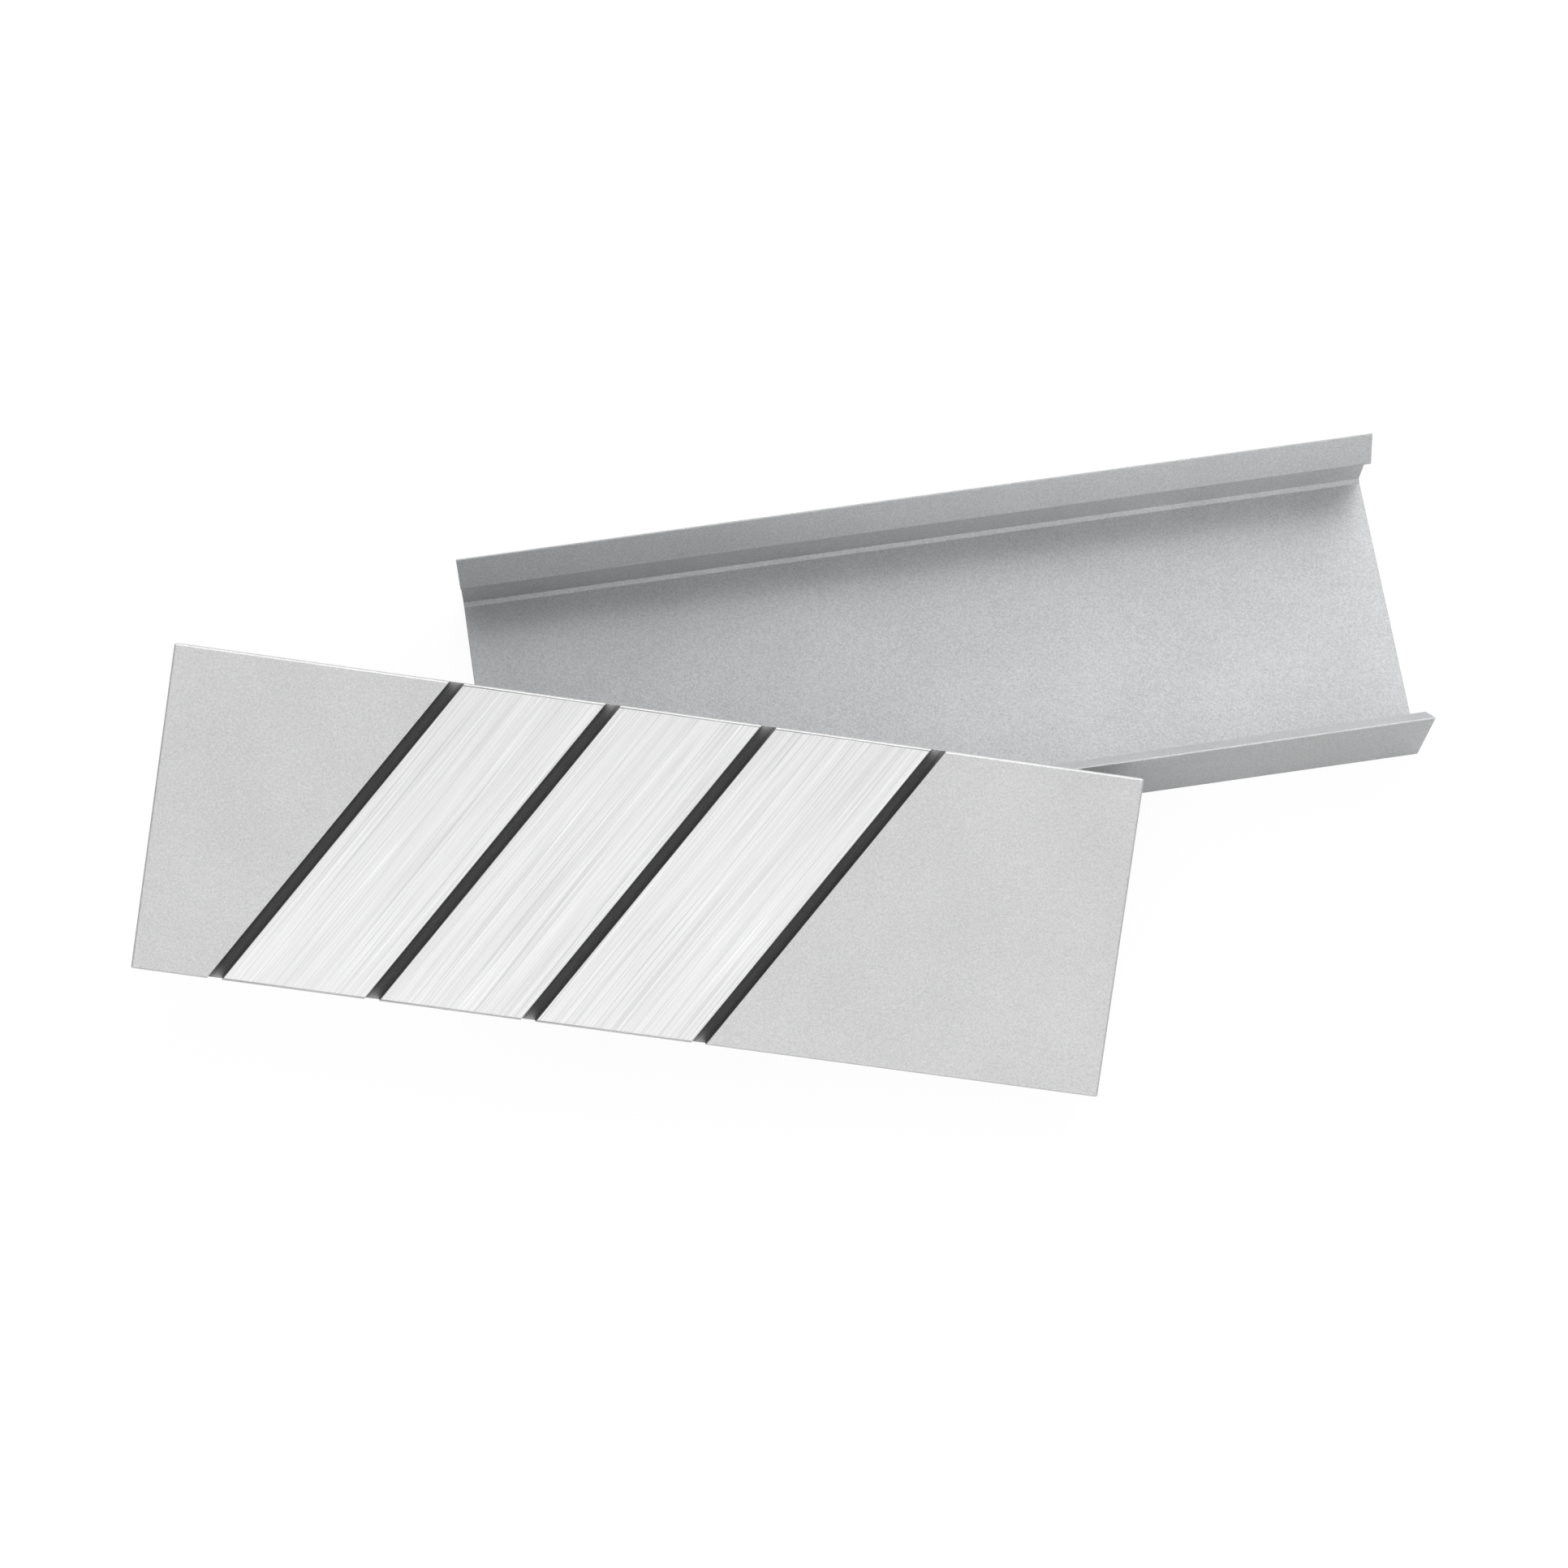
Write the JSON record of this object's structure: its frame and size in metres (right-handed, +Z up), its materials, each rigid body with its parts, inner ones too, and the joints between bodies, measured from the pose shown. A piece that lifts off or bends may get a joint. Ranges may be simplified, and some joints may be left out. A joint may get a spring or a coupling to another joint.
{
  "type": "ssd heat sink",
  "caption": "Clamp-on aluminium heat sink for a solid-state drive board: a lipped tray and a slotted cover, taken off and leaning on it.",
  "frame": {"origin": "middle of the tray's underside", "axes": "+X along the tray, +Y to its back wall, +Z up out of the tray; the cover leans on the front wall at -Y"},
  "size_m": [0.0966, 0.0468, 0.02],
  "materials": {
    "tray_metal": "fine blasted, clear anodised",
    "cover_metal": "fine blasted ends, brushed bands",
    "pad_rubber": "soft matte"
  },
  "bodies": {
    "root": {"tray": "tray_metal", "cover": "cover_metal", "thermal_pad": "pad_rubber"}
  },
  "joints": []
}
